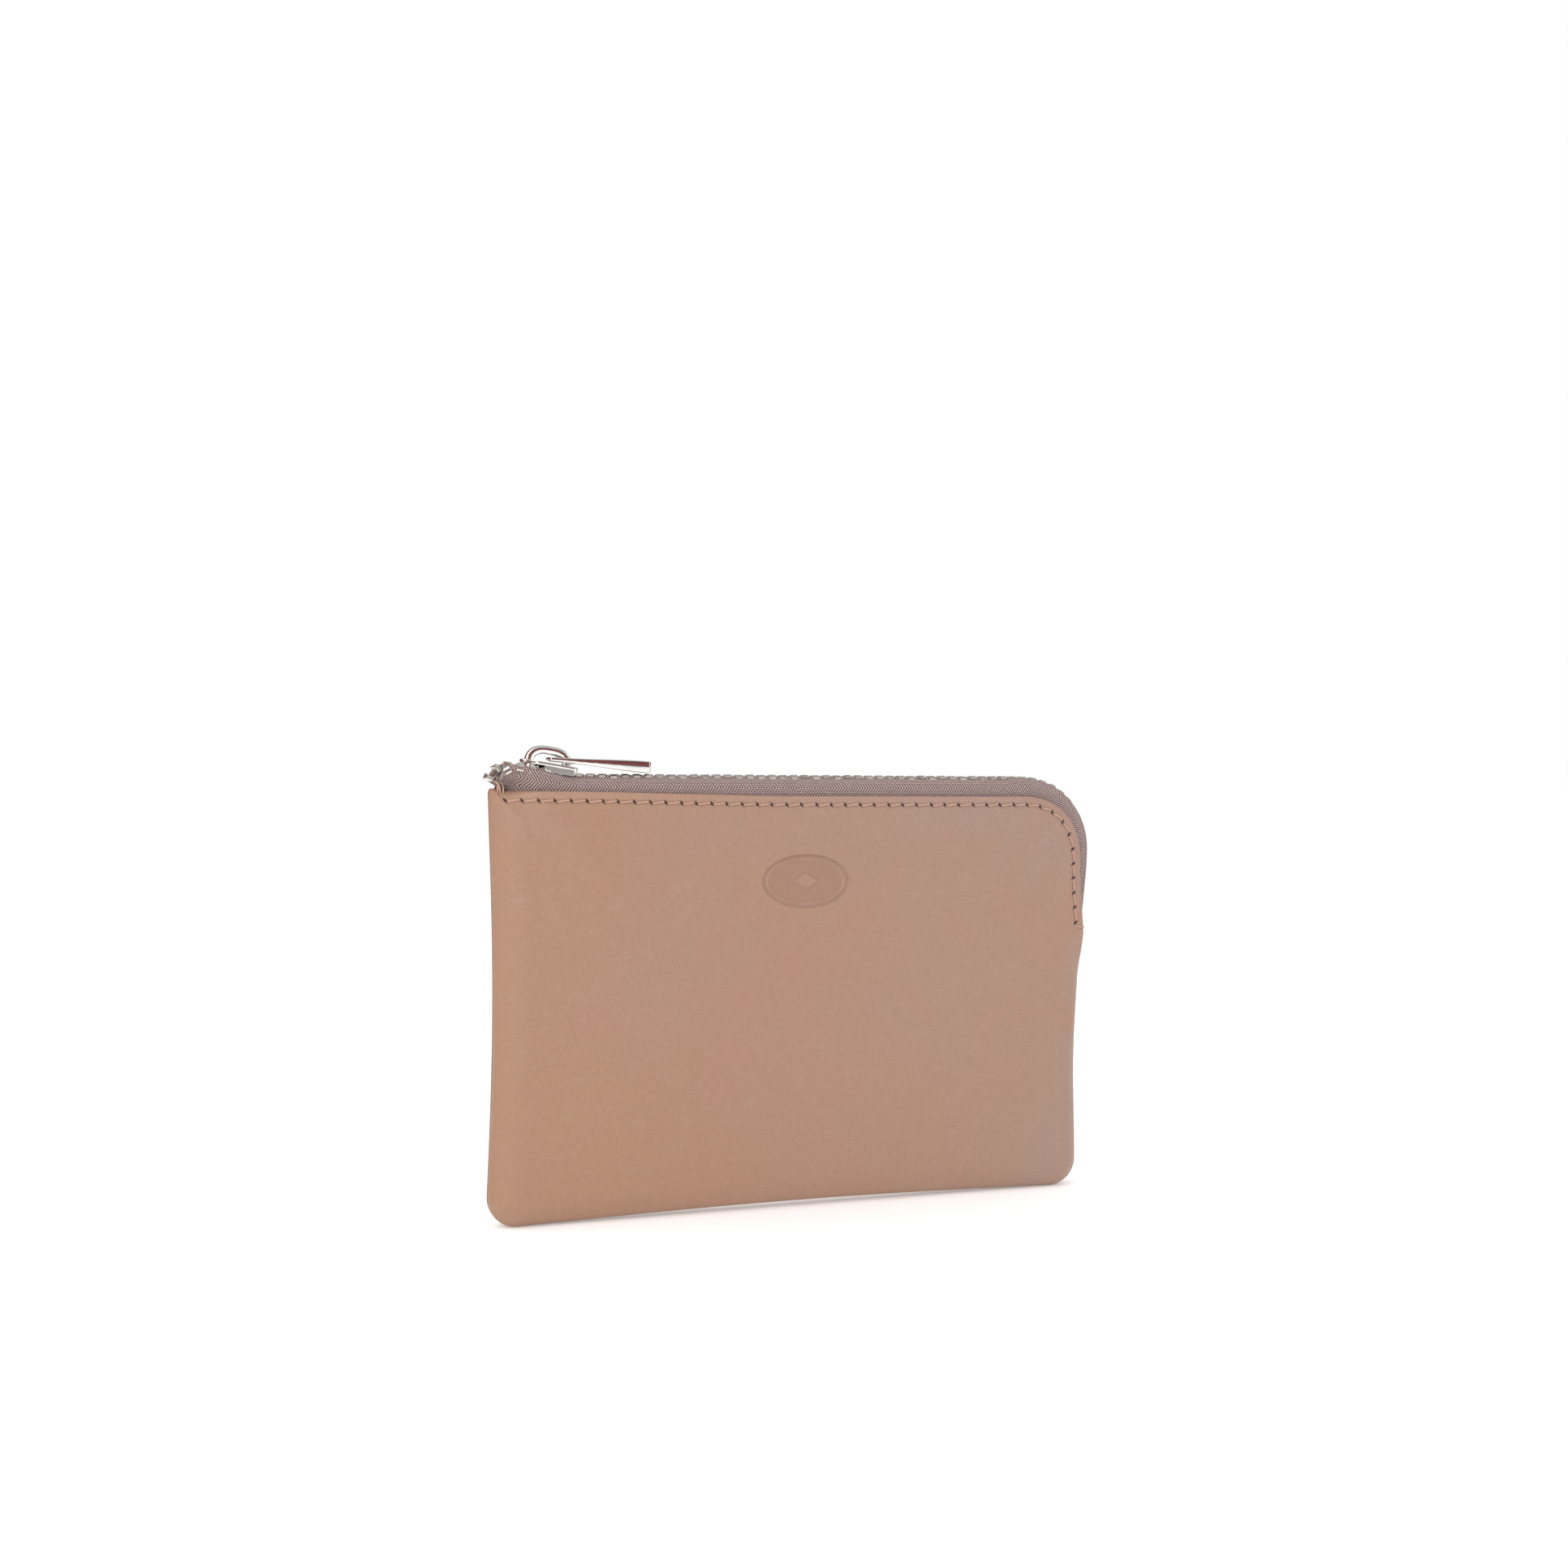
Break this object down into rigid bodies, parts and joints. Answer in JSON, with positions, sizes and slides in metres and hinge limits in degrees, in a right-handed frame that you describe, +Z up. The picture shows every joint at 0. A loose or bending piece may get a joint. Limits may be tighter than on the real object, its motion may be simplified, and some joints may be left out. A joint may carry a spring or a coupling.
{
  "type": "zippered pouch",
  "caption": "Small flat leather purse, lined, with an L-shaped metal zip along its top and round one corner; the slider travels and the mouth opens.",
  "frame": {"origin": "under the middle of the whole pouch, zip included, at its lowest point", "axes": "+X along the width, towards the zipped corner; -Y out of the front panel; +Z up, towards the zip"},
  "size_m": [0.1397, 0.0126, 0.1005],
  "materials": {
    "leather": "smooth tan leather with a fine grain and a satin sheen",
    "lining_cloth": "plain woven lining cloth, matt",
    "zip_tape": "herringbone woven tape, mauve grey, matt",
    "zip_teeth": "nickel-coloured metal, satin",
    "zip_hardware": "polished nickel",
    "thread": "tan twisted sewing thread"
  },
  "bodies": {
    "back": {"back_panel": "leather", "back_lining": "lining_cloth", "back_zip_tape": "zip_tape", "back_teeth": "zip_teeth", "back_stitching": "thread", "seam_thread": "thread", "left_tack": "thread", "right_tack": "thread"},
    "front": {"front_panel": "leather", "front_lining": "lining_cloth", "front_zip_tape": "zip_tape", "front_teeth": "zip_teeth", "front_stitching": "thread"},
    "slider": {"slider_body": "zip_hardware"},
    "pull": {"pull_tab": "zip_hardware"}
  },
  "joints": [
    {"name": "slider_travel", "type": "slide", "parent": "back", "child": "slider", "axis": [1, 0, 0], "range_m": [0, 0.1], "deforming": ["front_teeth", "back_teeth", "front_zip_tape", "back_zip_tape"]},
    {"name": "mouth_open", "type": "hinge", "parent": "back", "child": "front", "pos_m": [-0.0012, -0.0003, 0], "axis": [1, 0, 0], "range_deg": [0, 9]},
    {"name": "pull_swing", "type": "hinge", "parent": "slider", "child": "pull", "pos_m": [-0.05661, 0, 0.09762], "axis": [0, -1, 0], "range_deg": [0, 120]}
  ],
  "couplings": [
    {"joint": "mouth_open", "follows": "slider_travel", "rad_per_m": 1.57}
  ]
}
